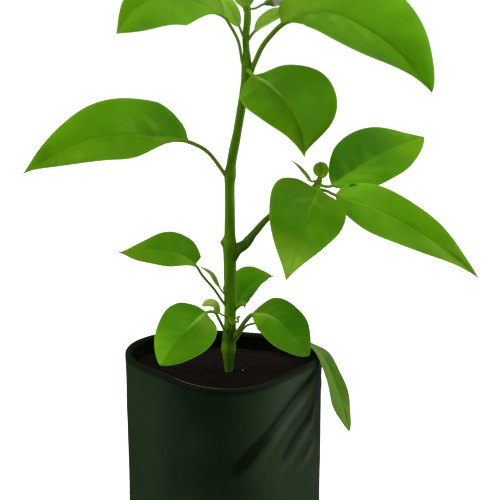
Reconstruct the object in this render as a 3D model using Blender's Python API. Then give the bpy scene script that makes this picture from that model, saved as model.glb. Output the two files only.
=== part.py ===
"""A young chili pepper plant in a soft-walled pot, rebuilt piece by piece.

Metres, +Z up. The origin is the centre of the pot's base, on the surface that it
stands on, and the pot's blunt corner points to -Y. The tables below give sizes and
places in millimetres, and MM turns them into metres as each mesh is made.
"""

import math

import bmesh
import bpy
from mathutils import Vector

MM = 0.001
GAP = 0.3

POT_HEIGHT = 105.9
POT_RADIUS = 54.6
POT_WALL = 2.2
POT_LIP = 3.8
POT_LIP_DEPTH = 5.0
POT_FLOOR = 2.6
POT_FOOT_FILLET = 4.0
POT_TAPER = 0.014
POT_SIDES = 48
POT_WALL_STATIONS = (0.35, 0.7)
POT_LIP_STEPS = 4
POT_LOBES = ((1, 5.2, 93.0), (2, 2.2, -40.0), (3, 5.3, 28.0), (4, 1.0, 15.0))

DRAIN_HOLES = 6
DRAIN_RADIUS = 4.0
DRAIN_CIRCLE = 33.0
DRAIN_SIDES = 16

SOIL_TOP = 96.0
SOIL_CROWN = 1.2
SOIL_CROWN_RINGS = (0.6, 0.25)
STEM_HOLE_RADIUS = 3.2
STEM_HOLE_SIDES = 24
STEM_FOOT = 78.0

STEM_POINTS = (
    (2.5, 4, 78), (3, 4, 96), (3, 4, 110), (4, 4, 128), (4, 4, 163), (4, 4, 193),
    (4, 4, 210), (5.3, 4, 222), (8.4, 4, 238), (11.2, 4, 255), (13, 4, 267), (13.5, 4, 278),
    (13, 4, 290), (14, 4, 300), (14, 4, 311),
)
STEM_RADII = (
    (78, 2.1), (96, 2.3), (100, 2.7), (106, 3.5), (110, 4.3), (112, 4.2), (114, 3.9),
    (117, 4.0), (128, 3.4), (140, 3.5), (163, 3.7), (171, 4.0), (178, 3.2), (193, 2.9),
    (206, 2.8), (213, 3.3), (220, 2.7), (244, 2.4), (262, 2.5), (274, 2.9), (279, 2.3),
    (283, 1.9), (294, 1.9), (300, 2.0), (311, 1.4),
)
BRANCH_HEIGHT = 168.5
BRANCH_POINTS = ((12.7, 3, 173), (18, 2, 180), (28, 2, 190.8), (41, 2, 198.6), (50, 3, 204),
                 (54, 3, 209), (55, 3, 213))
BRANCH_RADII = ((160, 3.4), (170, 3.4), (174, 2.9), (180, 2.2), (191, 1.7), (200, 1.5),
                (208, 2.0), (213, 1.3))
BRANCH_STALK_RADIUS = 3.0
BRANCH_LEAD = 3.5
MAIN_STEM_STATIONS = 48
SIDE_BRANCH_STATIONS = 20

BUD_HEIGHT = 305.0
BUD_STALK_RADIUS = 0.6
BUD_LEAD = 0.8
BUD_POINTS = ((18.7, 6, 305.8), (22.5, 8, 307.6), (28, 9.5, 309.2), (35, 10, 309.8))
BUD_STATIONS = 12
BUD_RADII = ((0, 0.6), (0.4, 0.7), (0.5, 1.7), (0.68, 3.1), (0.85, 2.6), (1, 0.7))

BLADE_THICKNESS = 0.6
LEAF_SIDES = 8
STALK_STATIONS = 5
SHORT_STALK_STATIONS = 3
BLADE_STATIONS = 11
# Powers by which the stalk's width, its height and the rib under the blade die out
# towards the tip, the shares of the blade over which the fold and the lobes set in, and
# the share of the blade each way over which the run of its midrib is taken.
WIDTH_FADE = 2
HEIGHT_FADE = 8
RIB_FADE = 1
LOBE_FADE = 3
FOLD_SETS_IN = 1 / 6
LOBE_SETS_IN = 1 / 20
BLADE_RUN = 0.2
YOUNG_HALF_WIDTH = 9.0

# Each leaf: what carries it, the height of its joint, the points of its stalk and of
# its midrib, its left and right halves seen from the stalk (each as half_width reads it),
# the fold of the halves in degrees, the way its face looks at the base and at the tip,
# how far its base lobes reach back, and the radius of its stalk.
LEAVES = {
    "leaf_left_long": dict(
        carrier="main_stem", height=213, stalk=((-8, -2, 227),),
        blade=((-19, -8, 234), (-31, -14, 237), (-60, -26, 240), (-79, -34, 236),
               (-105, -42, 222.4)),
        left=(28, 2.1, 1.85), right=(23.2, 0.42, 1),
        fold=18, face=((0, -0.65, 0.75), (-0.2, -0.6, 0.75)),
        lobe=0.5, stalk_radius=1.1),
    "leaf_right_mid": dict(
        carrier="main_stem", height=272, stalk=(),
        blade=((17, -4, 270), (22, -8, 268), (28, -13, 264), (35, -20, 257), (41, -27, 247),
               (44, -30, 238), (44.8, -32, 228.8)),
        left=(28, 1.25, 0.82, 0.16), right=(20.3, 0.45, 1.2),
        fold=20, face=((-0.1, -0.8, 0.6), (-0.3, -0.9, 0.2)),
        stalk_radius=1.1),
    "leaf_top_left": dict(
        carrier="main_stem", height=276, stalk=((9, 2, 288), (4, -2, 298)),
        blade=((1, -5, 302), (-9, -11, 308), (-26, -19, 314), (-43, -26, 309),
               (-55, -30, 295)),
        left=(33.2, 1.85, 1.02), right=(17, 0.6, 1.05),
        fold=17, face=((0, -0.75, 0.65), (-0.5, -0.7, 0.5)),
        stalk_radius=0.85),
    "leaf_top_right": dict(
        carrier="main_stem", height=271, stalk=((21.5, 2, 284), (27, 1, 291.5)),
        blade=((33, -1.5, 297.5), (41, -5, 302), (49, -9, 304), (61, -14, 304),
               (77, -20, 297), (95, -26, 284), (112, -30, 264)),
        left=(28.5, 0.35, 0.72), right=(29.2, 1.65, 1.7),
        fold=24, face=((0, -0.75, 0.65), (0.4, -0.7, 0.6)),
        stalk_radius=1.4),
    "branch_leaf_front": dict(
        carrier="side_branch", height=207, stalk=(),
        blade=((54, -4, 206), (50, -15, 200), (46, -22, 191), (42, -27, 182),
               (34.8, -33.4, 160.4)),
        left=(20.2, 0.62, 1.42), right=(24.8, 0.58, 1.35),
        fold=8, face=((0.3, -0.6, 0.7), (0.1, -1, 0.1)),
        lobe=2, stalk_radius=0.9),
    "branch_leaf_long": dict(
        carrier="side_branch", height=206, stalk=((59, 0.5, 204.3),),
        blade=((63.5, -2, 202.6), (85, -8, 196), (103, -14, 188), (121, -20, 177),
               (142, -24, 160)),
        left=(14, 0.39, 0.9), right=(17.8, 0.85, 1.65),
        fold=12, face=((0, -0.7, 0.7), (0.2, -0.8, 0.6)),
        stalk_radius=0.9),
    "branch_leaf_upper": dict(
        carrier="side_branch", height=208, stalk=((58, 6, 206),),
        blade=((62, 8, 206), (70, 14, 210), (78, 20, 214), (87, 26, 219), (98, 34, 223),
               (118, 44, 228.2)),
        left=(19.7, 0.8, 1.22), right=(19.6, 0.72, 0.8),
        fold=12, face=((-0.2, -0.8, 0.5), (0, -0.8, 0.6)),
        stalk_radius=0.9),
    "branch_leaf_thin": dict(
        carrier="side_branch", height=209, stalk=(),
        blade=((50, 6, 209), (46, 9, 213), (42, 12, 217), (38, 15, 220)),
        left=(1.3, 0.5, 1.5), right=(1.6, 0.6, 1.2),
        fold=30, face=((0, -0.5, 0.8), (0, -0.5, 0.8)),
        stalk_radius=0.6),
    "branch_leaf_curled": dict(
        carrier="side_branch", height=210.5, stalk=(),
        blade=((55, -1.6, 212.6), (55.2, -2.2, 215.8), (55.1, -3, 219), (54.6, -3.8, 222)),
        left=(4.7, 0.45, 0.35), right=(4.7, 0.45, 0.35),
        fold=20, face=((-0.3, -0.9, 0.2), (-0.1, -0.95, -0.2)),
        stalk_radius=0.6),
    "leaf_low_left": dict(
        carrier="main_stem", height=137, stalk=((-5, 0, 147), (-11.3, -6, 156.6)),
        blade=((-15.3, -10, 164), (-22, -13, 170), (-32, -16, 174), (-43, -18, 175),
               (-58, -20, 174)),
        left=(14.6, 1.5, 1.34), right=(13.6, 0.7, 1.7),
        fold=12, face=((0, -0.55, 0.8), (0, -0.55, 0.8)),
        lobe=5, stalk_radius=0.8),
    "leaf_low_narrow": dict(
        carrier="main_stem", height=143, stalk=(),
        blade=((-1.8, -0.4, 148), (-3.6, -1.6, 152.2), (-7.6, -3.2, 157.6), (-13.6, -5.6, 162.2)),
        left=(1.8, 0.8, 1), right=(1.8, 0.8, 1),
        fold=35, face=((-0.5, -0.6, 0.5), (0, -0.6, 0.8)),
        stalk_radius=0.6),
    "leaf_low_round": dict(
        carrier="main_stem", height=120, stalk=((-2.2, -5, 130.5), (-4.6, -9, 136)),
        blade=((-9.5, -13.5, 137), (-18, -27, 132.8), (-27, -37, 125.2), (-33.8, -44, 116.3)),
        left=(16.3, 0.61, 0.75), right=(16.4, 0.4, 0.72),
        fold=8, face=((0, -0.75, 0.65), (-0.2, -1, 0.1)),
        stalk_radius=0.9),
    "leaf_low_pale": dict(
        carrier="main_stem", height=130, stalk=(),
        blade=((-2, -2.5, 133.6), (-5, -5, 138.6), (-8, -8, 140.6), (-12, -12, 140.6)),
        left=(3.4, 0.8, 0.8), right=(3.4, 0.8, 0.8),
        fold=20, face=((-0.3, -0.7, 0.5), (0, -0.7, 0.7)),
        stalk_radius=0.6),
    "leaf_low_behind": dict(
        carrier="main_stem", height=123, stalk=((6, 11, 129),),
        blade=((8, 13, 133.3), (12, 18, 140.6), (18, 25, 144.8), (24, 32, 145.8),
               (29.7, 37, 144.3)),
        left=(12.5, 0.72, 1), right=(8.3, 0.5, 1),
        fold=20, face=((-0.3, -0.8, 0.5), (-0.3, -0.6, 0.7)),
        stalk_radius=0.8),
    "leaf_low_right": dict(
        carrier="main_stem", height=119, stalk=((13, -2, 129),),
        blade=((17, -7, 134), (26, -14, 135.4), (34, -22, 132), (42, -30, 124.8),
               (47.8, -34, 118.3)),
        left=(14.4, 0.55, 0.75), right=(15.8, 0.85, 0.62),
        fold=8, face=((0.1, -0.7, 0.7), (0.6, -0.7, 0.3)),
        stalk_radius=1.3),
    "leaf_hanging": dict(
        carrier="main_stem", height=115, stalk=((15, 7, 124), (32, 5, 123)),
        blade=((48, 3, 114), (54, 1, 110), (59, 0, 104), (64, -1, 93), (69, -2, 78),
               (73.5, -3, 61.5)),
        left=(8, 0.7, 0.66), right=(10.8, 1.45, 1),
        fold=8, face=((0.5, -0.4, 0.8), (0.75, -0.6, 0.3)),
        stalk_radius=0.7),
    "sprout_front": dict(
        carrier="main_stem", height=123, stalk=(),
        blade=((5.3, -2.2, 127), (4.2, -3.4, 130), (1.8, -4.4, 133.4)),
        left=(1.8, 0.6, 1.2), right=(1.8, 0.6, 1.2),
        fold=20, face=((0, 0.5, 0.9), (0, 0.3, 0.9)),
        stalk_radius=0.5),
    "sprout_right": dict(
        carrier="main_stem", height=127, stalk=(),
        blade=((8.3, -1.4, 128), (9, -2.4, 130.6), (10.3, -3, 132.4)),
        left=(1.7, 0.8, 1), right=(1.7, 0.8, 1),
        fold=20, face=((-0.6, -0.6, 0.5), (-0.6, -0.6, 0.5)),
        stalk_radius=0.6),
    "sprout_curled": dict(
        carrier="main_stem", height=133, stalk=(),
        blade=((9, 2, 136), (10, 1, 138), (11.9, 0, 138.2), (12, -1.5, 136)),
        left=(1.8, 0.8, 1), right=(1.8, 0.8, 1),
        fold=30, face=((-0.6, -0.3, 0.7), (0.7, -0.6, 0.4)),
        stalk_radius=0.6),
    "tip_leaf_left": dict(
        carrier="main_stem", height=291, stalk=(),
        blade=((9.4, 3, 296.2), (5.6, 5, 303), (1, 8, 310), (-4, 11, 316)),
        left=(5, 0.7, 1), right=(4.5, 0.7, 1),
        fold=15, face=((-0.2, -0.7, 0.6), (0, -0.7, 0.7)),
        stalk_radius=0.7),
    "tip_leaf_right": dict(
        carrier="main_stem", height=289, stalk=(),
        blade=((18, 2, 293.5), (24, 3.5, 297.5), (30, 5, 300.8), (38, 7, 304.5)),
        left=(6, 0.75, 0.75), right=(2.4, 0.8, 0.9),
        fold=20, face=((-0.2, -0.7, 0.6), (0, -0.7, 0.7)),
        stalk_radius=0.8),
    "tip_leaf_front": dict(
        carrier="main_stem", height=303, stalk=(),
        blade=((14, 0, 307), (13, -4, 313), (12, -9, 318), (11, -15, 320)),
        left=(6, 0.82, 1), right=(6, 0.82, 1),
        fold=15, face=((0, 0, 1), (0, 0, 1)),
        stalk_radius=0.8),
    "tip_leaf_back_left": dict(
        carrier="main_stem", height=301, stalk=(),
        blade=((12, 10, 306), (9, 16, 314), (4, 21, 322), (-4, 26, 327)),
        left=(7, 0.82, 1), right=(7, 0.82, 1),
        fold=15, face=((0, -0.5, 0.8), (0, -0.3, 0.9)),
        stalk_radius=0.8),
    "tip_leaf_back": dict(
        carrier="main_stem", height=306, stalk=(),
        blade=((15, 8, 309), (18, 12, 318), (20, 16, 327), (22, 20, 334)),
        left=(6.5, 0.82, 1), right=(6.5, 0.82, 1),
        fold=20, face=((0, -0.7, 0.6), (0, -0.6, 0.8)),
        stalk_radius=0.8),
    "tip_leaf_top": dict(
        carrier="main_stem", height=309, stalk=(),
        blade=((12, 2, 312), (9, 0, 318), (7, -2, 325), (7, -3, 331)),
        left=(4.5, 0.82, 1), right=(4.5, 0.82, 1),
        fold=30, face=((0.7, -0.3, 0.5), (0.7, -0.3, 0.5)),
        stalk_radius=0.7),
}

LEAF_GREEN = (0.065, 0.205, 0.004)
YOUNG_GREEN = (0.13, 0.33, 0.02)
STEM_GREEN = (0.04, 0.13, 0.003)
POT_GREEN = (0.010, 0.018, 0.008)
SOIL_BROWN = (0.012, 0.008, 0.005)
BUD_WHITE = (0.55, 0.52, 0.42)


class Route:
    """A smooth line through a few points, walked by the share of its length."""

    STEPS = 16

    def __init__(self, points):
        points = [Vector(point) for point in points]
        ends = [2 * points[0] - points[1]] + points + [2 * points[-1] - points[-2]]
        self.samples = [points[0]]
        for before, start, end, after in zip(ends, ends[1:], ends[2:], ends[3:]):
            for step in range(1, self.STEPS + 1):
                t = step / self.STEPS
                self.samples.append(0.5 * (
                    2 * start + (end - before) * t
                    + (2 * before - 5 * start + 4 * end - after) * t * t
                    + (3 * start - 3 * end + after - before) * t ** 3))
        self.lengths = [0.0]
        for start, end in zip(self.samples, self.samples[1:]):
            self.lengths.append(self.lengths[-1] + (end - start).length)
        self.length = self.lengths[-1]

    def at(self, share):
        """The point a share of the way along."""
        wanted = min(max(share, 0.0), 1.0) * self.length
        for index in range(1, len(self.lengths)):
            if self.lengths[index] >= wanted:
                break
        part = (wanted - self.lengths[index - 1]) / (self.lengths[index] - self.lengths[index - 1])
        return self.samples[index - 1].lerp(self.samples[index], part)

    def direction(self, share):
        """The way the line runs there."""
        reach = 0.01
        return (self.at(share + reach) - self.at(share - reach)).normalized()

    def share_at_height(self, height):
        """How far along the line first reaches a height."""
        for index, sample in enumerate(self.samples):
            if sample.z >= height:
                return self.lengths[index] / self.length
        return 1.0


def step_value(table, place):
    """Reads a value between the rows of a table of (place, value)."""
    if place <= table[0][0]:
        return table[0][1]
    for (low, value), (high, next_value) in zip(table, table[1:]):
        if place <= high:
            return value + (next_value - value) * (place - low) / (high - low)
    return table[-1][1]


class Stem:
    """A stem's line and its thickness by height."""

    def __init__(self, points, radii):
        self.route = Route(points)
        self.radii = radii

    def seat(self, height, towards, stalk_radius):
        """Where a stalk starts, a gap off the stem's skin, and the way it leaves."""
        share = self.route.share_at_height(height)
        centre = self.route.at(share)
        axis = self.route.direction(share)
        out = Vector(towards) - centre
        out = (out - axis * out.dot(axis)).normalized()
        skin = max(step_value(self.radii, height + offset)
                   for offset in (-stalk_radius, 0, stalk_radius))
        return centre + out * (skin + GAP), out


def material(name, color, roughness):
    """A Principled material of one colour."""
    finish = bpy.data.materials.new(name)
    finish.use_nodes = True
    shader = finish.node_tree.nodes["Principled BSDF"]
    shader.inputs["Base Color"].default_value = (*color, 1.0)
    shader.inputs["Roughness"].default_value = roughness
    shader.inputs["Metallic"].default_value = 0.0
    return finish


def add_object(name, mesh, color, roughness, collection):
    """Puts a finished mesh in the scene as a piece of its own."""
    piece = bpy.data.objects.new(name, mesh)
    mesh.materials.append(material(name + "_finish", color, roughness))
    collection.objects.link(piece)
    return piece


def mesh_from(name, shape):
    """Closes a bmesh and turns it into a mesh with its faces pointing out."""
    bmesh.ops.recalc_face_normals(shape, faces=shape.faces)
    mesh = bpy.data.meshes.new(name)
    shape.to_mesh(mesh)
    shape.free()
    mesh.shade_smooth()
    mesh.set_sharp_from_angle(angle=math.radians(50))
    return mesh


def loft(name, rings):
    """One closed skin over a row of rings with equally many points, in millimetres."""
    shape = bmesh.new()
    rows = [[shape.verts.new(Vector(point) * MM) for point in ring] for ring in rings]
    for row, following in zip(rows, rows[1:]):
        for index in range(len(row)):
            beside = (index + 1) % len(row)
            shape.faces.new((row[index], following[index], following[beside], row[beside]))
    shape.faces.new(rows[0])
    shape.faces.new(reversed(rows[-1]))
    return mesh_from(name, shape)


def pot_radius(angle):
    """The rim's distance from the middle: a soft square pressed out of true."""
    return POT_RADIUS + sum(
        depth * math.cos(count * (angle - math.radians(turn)))
        for count, depth, turn in POT_LOBES)


def pot_ring(height, inset):
    """The pot's outline at a height, drawn in by an inset."""
    scale = 1 - POT_TAPER * (1 - height / POT_HEIGHT)
    ring = []
    for index in range(POT_SIDES):
        angle = 2 * math.pi * index / POT_SIDES
        reach = pot_radius(angle) * scale - inset
        ring.append((reach * math.cos(angle), reach * math.sin(angle), height))
    return ring


def make_pot(parts, cutters):
    """The thin shell with its rolled lip, cut through by the drain holes."""
    half_lip = POT_LIP / 2
    rings = [pot_ring(0, POT_FOOT_FILLET * 0.75),
             pot_ring(POT_FOOT_FILLET * 0.3, POT_FOOT_FILLET * 0.2),
             pot_ring(POT_FOOT_FILLET, 0)]
    rings += [pot_ring(POT_HEIGHT * share, 0) for share in POT_WALL_STATIONS]
    for step in range(POT_LIP_STEPS + 1):
        turn = math.pi * step / POT_LIP_STEPS
        rings.append(pot_ring(POT_HEIGHT - half_lip * (1 - math.sin(turn)),
                              half_lip * (1 - math.cos(turn))))
    rings += [pot_ring(POT_HEIGHT - POT_LIP_DEPTH, POT_WALL),
              pot_ring(POT_HEIGHT * 0.5, POT_WALL),
              pot_ring(POT_FLOOR, POT_WALL)]
    pot = add_object("pot", loft("pot", rings), POT_GREEN, 0.35, parts)
    for index in range(DRAIN_HOLES):
        angle = 2 * math.pi * (index + 0.5) / DRAIN_HOLES
        bpy.ops.mesh.primitive_cylinder_add(
            vertices=DRAIN_SIDES, radius=DRAIN_RADIUS * MM, depth=4 * POT_FLOOR * MM,
            location=(DRAIN_CIRCLE * math.cos(angle) * MM, DRAIN_CIRCLE * math.sin(angle) * MM, 0))
        cut_with(pot, bpy.context.active_object, "drain_%d" % index, cutters)


def cut_with(piece, cutter, name, cutters):
    """Cuts a piece with a hidden tool."""
    cutter.name = "cutter_" + name
    for collection in cutter.users_collection:
        collection.objects.unlink(cutter)
    cutters.objects.link(cutter)
    cutter.hide_render = True
    cutter.display_type = "WIRE"
    cut = piece.modifiers.new(name, "BOOLEAN")
    cut.operation = "DIFFERENCE"
    cut.solver = "EXACT"
    cut.object = cutter


def make_soil(parts, cutters):
    """The plug of potting mix: it fills the pot below the lip, with a hole for the stem's foot."""
    inset = POT_WALL + GAP
    rings = [pot_ring(POT_FLOOR + GAP, inset),
             pot_ring(SOIL_TOP * 0.5, inset),
             pot_ring(SOIL_TOP, inset)]
    for share in SOIL_CROWN_RINGS:
        height = SOIL_TOP + SOIL_CROWN * (1 - share)
        rings.append([(x * share, y * share, height) for x, y, _ in pot_ring(SOIL_TOP, inset)])
    soil = add_object("soil", loft("soil", rings), SOIL_BROWN, 0.95, parts)
    foot = STEM_FOOT - GAP
    top = SOIL_TOP + 3 * SOIL_CROWN
    bpy.ops.mesh.primitive_cylinder_add(
        vertices=STEM_HOLE_SIDES, radius=STEM_HOLE_RADIUS * MM, depth=(top - foot) * MM,
        location=(STEM_POINTS[0][0] * MM, STEM_POINTS[0][1] * MM, (top + foot) / 2 * MM))
    cut_with(soil, bpy.context.active_object, "stem_hole", cutters)


def make_stem(name, stem, stations, parts):
    """A round stem: a curve with a bevel, whose thickness changes along it."""
    line = bpy.data.curves.new(name, "CURVE")
    line.dimensions = "3D"
    line.bevel_depth = MM
    line.bevel_resolution = 4
    line.use_fill_caps = True
    spline = line.splines.new("POLY")
    spline.points.add(stations)
    for index in range(stations + 1):
        place = stem.route.at(index / stations)
        spline.points[index].co = (*(place * MM), 1.0)
        spline.points[index].radius = step_value(stem.radii, place.z)
    piece = bpy.data.objects.new(name, line)
    line.materials.append(material(name + "_finish", STEM_GREEN, 0.5))
    parts.objects.link(piece)


def half_width(share, half):
    """How far a half reaches from the midrib. A half is its width and its base and tip powers:
    under 1 is round there, 1 is a straight taper, over 1 is drawn out. A fourth number is the
    share over which its margin bends in to a drip tip."""
    width, base, tip, *drip = half
    if share <= 0 or share >= 1:
        return 0.0
    widest = base / (base + tip)
    reach = width * (share / widest) ** base * ((1 - share) / (1 - widest)) ** tip
    return reach * (1 - math.exp(-((1 - share) / drip[0]) ** 2)) if drip else reach


def blade_run(route, share, blade_start):
    """The way a blade runs, taken over a part of it each way, so that the sides of a bent
    blade don't crowd together."""
    reach = BLADE_RUN * (1 - blade_start)
    start = route.at(max(blade_start, share - reach))
    return (route.at(share + reach) - start).normalized()


def leaf_ring(centre, frame, halves, half_height, rib, fold, lobe):
    """A cross-section: round on the stalk, a thin folded lens with a ribbed back on the blade.

    Its margins lie back from its middle, towards the stalk, where the base has lobes.
    """
    ahead, side, face = frame
    ring = []
    for index in range(LEAF_SIDES):
        angle = 2 * math.pi * index / LEAF_SIDES
        reach = math.cos(angle)
        across = reach * halves[1 if reach > 0 else 0]
        depth = rib if index == 3 * LEAF_SIDES // 4 else half_height
        rise = depth * math.sin(angle) + abs(across) * math.sin(fold)
        ring.append(centre + side * across * math.cos(fold) + face * rise
                    - ahead * lobe * abs(reach))
    return ring


def make_leaf(name, leaf, stems, parts):
    """A leaf with its stalk, as one skin from the joint to the tip."""
    points = [*leaf["stalk"], *leaf["blade"]]
    stalk_radius = leaf["stalk_radius"]
    start, out = stems[leaf["carrier"]].seat(leaf["height"], points[0], stalk_radius)
    stalk_points = [start, start + out * stalk_radius, *leaf["stalk"], leaf["blade"][0]]
    route = Route(stalk_points + list(leaf["blade"][1:]))
    blade_start = Route(stalk_points).length / route.length
    stalk_stations = STALK_STATIONS if leaf["stalk"] else SHORT_STALK_STATIONS
    shares = [blade_start * index / stalk_stations for index in range(stalk_stations)]
    shares += [blade_start + (1 - blade_start) * index / BLADE_STATIONS
               for index in range(BLADE_STATIONS + 1)]
    face_base = Vector(leaf["face"][0]).normalized()
    face_tip = Vector(leaf["face"][1]).normalized()
    skin = BLADE_THICKNESS / 2
    rings = []
    for share in shares:
        blade = max(0.0, (share - blade_start) / (1 - blade_start))
        if blade > 0:
            ahead = blade_run(route, share, blade_start)
        else:
            ahead = out if share == 0 else route.direction(share)
        face = face_base.lerp(face_tip, blade)
        face = (face - ahead * face.dot(ahead)).normalized()
        stalk = stalk_radius * (1 - blade) ** WIDTH_FADE
        halves = [max(math.hypot(stalk, half_width(blade, leaf[half])), skin)
                  for half in ("left", "right")]
        half_height = skin + (stalk_radius - skin) * (1 - blade) ** HEIGHT_FADE
        rib = skin + (stalk_radius - skin) * (1 - blade) ** RIB_FADE
        fold = math.radians(leaf["fold"]) * min(1.0, blade / FOLD_SETS_IN)
        lobe = leaf.get("lobe", 0) * (1 - blade) ** LOBE_FADE * min(1.0, blade / LOBE_SETS_IN)
        rings.append(leaf_ring(route.at(share), (ahead, ahead.cross(face), face), halves,
                               half_height, rib, fold, lobe))
    grown = max(leaf["left"][0], leaf["right"][0]) > YOUNG_HALF_WIDTH
    color = LEAF_GREEN if grown else YOUNG_GREEN
    add_object(name, loft(name, rings), color, 0.4, parts)


def make_flower_bud(stems, parts):
    """The closed flower bud on its short stalk, among the youngest leaves."""
    start, out = stems["main_stem"].seat(BUD_HEIGHT, BUD_POINTS[1], BUD_STALK_RADIUS)
    route = Route([start, start + out * BUD_LEAD, *BUD_POINTS])
    rings = []
    for index in range(BUD_STATIONS + 1):
        share = index / BUD_STATIONS
        ahead = out if index == 0 else route.direction(share)
        side = ahead.cross(Vector((0, 0, 1))).normalized()
        radius = step_value(BUD_RADII, share)
        turns = [2 * math.pi * index / LEAF_SIDES for index in range(LEAF_SIDES)]
        rings.append([route.at(share) + side * radius * math.cos(turn)
                      + side.cross(ahead) * radius * math.sin(turn) for turn in turns])
    add_object("flower_bud", loft("flower_bud", rings), BUD_WHITE, 0.5, parts)


def build():
    for leftover in list(bpy.data.objects):
        bpy.data.objects.remove(leftover, do_unlink=True)
    parts = bpy.data.collections.new("chili_pepper_plant")
    cutters = bpy.data.collections.new("cutters")
    bpy.context.scene.collection.children.link(parts)
    bpy.context.scene.collection.children.link(cutters)
    main_stem = Stem(STEM_POINTS, STEM_RADII)
    start, out = main_stem.seat(BRANCH_HEIGHT, BRANCH_POINTS[0], BRANCH_STALK_RADIUS)
    side_branch = Stem([start, start + out * BRANCH_LEAD, *BRANCH_POINTS], BRANCH_RADII)
    stems = {"main_stem": main_stem, "side_branch": side_branch}
    make_pot(parts, cutters)
    make_soil(parts, cutters)
    make_stem("main_stem", main_stem, MAIN_STEM_STATIONS, parts)
    make_stem("side_branch", side_branch, SIDE_BRANCH_STATIONS, parts)
    for name, leaf in LEAVES.items():
        make_leaf(name, leaf, stems, parts)
    make_flower_bud(stems, parts)


build()
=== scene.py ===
import random
from functools import cache
from math import cos, exp, hypot, pi, radians, remainder, sin, sqrt

import bmesh
import bpy
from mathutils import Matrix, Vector, noise


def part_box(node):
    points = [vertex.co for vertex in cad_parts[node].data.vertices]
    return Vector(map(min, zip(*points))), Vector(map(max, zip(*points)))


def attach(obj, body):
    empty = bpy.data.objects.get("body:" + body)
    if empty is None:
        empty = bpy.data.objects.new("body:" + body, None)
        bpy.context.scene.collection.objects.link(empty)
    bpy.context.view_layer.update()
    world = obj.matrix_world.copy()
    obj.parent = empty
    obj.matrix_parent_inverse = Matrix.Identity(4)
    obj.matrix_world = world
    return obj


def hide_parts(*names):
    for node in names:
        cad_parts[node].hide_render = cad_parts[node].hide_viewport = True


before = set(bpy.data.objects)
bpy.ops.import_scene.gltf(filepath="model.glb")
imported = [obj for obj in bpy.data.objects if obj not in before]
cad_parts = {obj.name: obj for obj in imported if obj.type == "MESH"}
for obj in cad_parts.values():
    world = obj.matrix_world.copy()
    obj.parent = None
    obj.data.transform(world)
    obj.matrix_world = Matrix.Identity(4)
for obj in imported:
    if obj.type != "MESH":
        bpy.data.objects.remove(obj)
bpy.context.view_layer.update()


# --- Pot ------------------------------------------------------------------------------
# A soft nursery pot of dark green plastic, pressed out of its square shape when it was
# handled. Its wall ends in a rolled lip, folds run down from its right corner where it
# was squeezed, and water leaves through six holes in its base.

# Sizes are in millimetres, and MM makes them metres.
MM = 0.001
POT_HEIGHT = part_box("pot")[1].z / MM
POT_RADIUS = 54.6
# The lobes that press the rim out of round: how many, how deep, and turned by what angle.
POT_LOBES = ((1, 5.2, 93.0), (2, 2.2, -40.0), (3, 5.3, 28.0), (4, 1.0, 15.0))
POT_TAPER = 0.014
POT_WALL = 2.2
POT_LIP = 3.8
POT_LIP_DEPTH = 5.0
POT_FLOOR = 2.6
POT_FILLET = 4.0
# The shares of the skin's length between which it rolls over the lip, and the inset that
# stands for the way in to the pot's middle.
LIP_START, LIP_END = 0.58, 0.66
TO_MIDDLE = 50.0
# The wall gives below its stiff lip and above its stiff foot, over these heights.
STIFF_LIP, STIFF_FOOT, FOOT_RISE = 14.0, 6.0, 20.0
# The angle of the side that faces the unlit front, where the painted shade is darkest.
SHADED_SIDE = -1.88
DRAIN_HOLES = 6
DRAIN_RADIUS = 4.0
DRAIN_CIRCLE = 33.0

# Each fold: the angle in degrees and the height of the points that it runs through, then
# its depth, its half width and the ridge beside it, each at its top and at its bottom. The
# fourth is a slight swelling between two folds, so its depth is below nothing.
POT_FOLDS = (
    dict(line=((3, 104), (-6, 99), (-22, 91), (-40, 84), (-58, 76), (-70, 68), (-81, 58),
               (-90, 47)),
         depth=(1.7, 1.1), width=(2.5, 5.0), ridge=(0.9, 0.5)),
    dict(line=((9, 94), (0, 85), (-12, 73), (-30, 63), (-41, 56), (-50, 48)),
         depth=(1.7, 0.8), width=(2.0, 4.2), ridge=(0.9, 0.4)),
    dict(line=((0, 64), (-6, 58), (-17, 51), (-28, 44)),
         depth=(0.9, 0.4), width=(1.8, 3.5), ridge=(0.5, 0.2)),
    dict(line=((-14, 106), (-37, 97), (-56, 90), (-74, 78)),
         depth=(-0.2, -0.2), width=(7.0, 9.0), ridge=(0.0, 0.0)),
    dict(line=((96, 98), (84, 86), (78, 70), (75, 52)),
         depth=(1.1, 0.4), width=(2.0, 5.0), ridge=(0.5, 0.2)),
    dict(line=((150, 92), (158, 74), (163, 58)),
         depth=(0.8, 0.3), width=(2.5, 5.0), ridge=(0.3, 0.1)),
)


def smooth_step(value):
    """Eases a share from 0 to 1."""
    value = min(max(value, 0.0), 1.0)
    return value * value * (3.0 - 2.0 * value)


def rolled_skin(name, around, along, place):
    """A flat sheet of quads rolled into one closed skin.

    place gives each point's position in millimetres from its share round the skin and
    its share along it, with two sets of three values that its material reads.
    """
    shape = bmesh.new()
    bmesh.ops.create_grid(shape, x_segments=around, y_segments=along, size=1.0)
    grain = shape.verts.layers.float_vector.new("skin_grain")
    zones = shape.verts.layers.float_vector.new("skin_zones")
    for point in shape.verts:
        position, point[grain], point[zones] = place(
            round((point.co.x + 1) / 2, 7), round((point.co.y + 1) / 2, 7))
        point.co = position * MM
    bmesh.ops.remove_doubles(shape, verts=shape.verts, dist=0.000002)
    bmesh.ops.holes_fill(shape, edges=[e for e in shape.edges if e.is_boundary], sides=0)
    bmesh.ops.recalc_face_normals(shape, faces=shape.faces)
    return piece_from(name, shape)


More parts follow.
